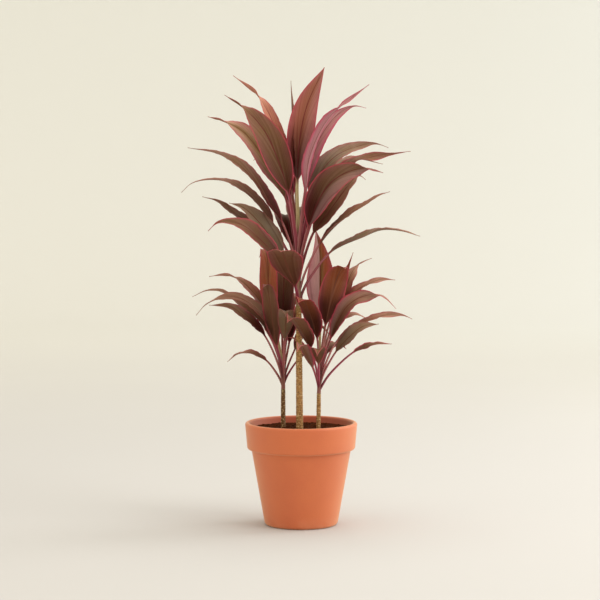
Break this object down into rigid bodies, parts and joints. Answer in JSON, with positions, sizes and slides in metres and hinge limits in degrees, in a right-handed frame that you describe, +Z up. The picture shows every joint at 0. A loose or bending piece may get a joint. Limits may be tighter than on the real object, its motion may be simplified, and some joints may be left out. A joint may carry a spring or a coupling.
{
  "type": "ti plant",
  "caption": "Ti plant with three ringed canes, each with a crown of arching dark red leaves, in a round terracotta pot of soil.",
  "frame": {"origin": "middle of the pot's flat underside, on the floor", "axes": "+Z up along the pot's axis, -Y towards the plant's front, +X to the right seen from the front"},
  "size_m": [0.4762, 0.4481, 0.9123],
  "materials": {
    "terracotta": "matte",
    "potting_soil": "matte",
    "cane_bark": "matte",
    "leaf": "satin"
  },
  "bodies": {
    "root": {"pot": "terracotta", "soil": "potting_soil", "cane_main": "cane_bark", "cane_left": "cane_bark", "cane_right": "cane_bark", "crown_main": "leaf", "crown_left": "leaf", "crown_right": "leaf"}
  },
  "joints": []
}
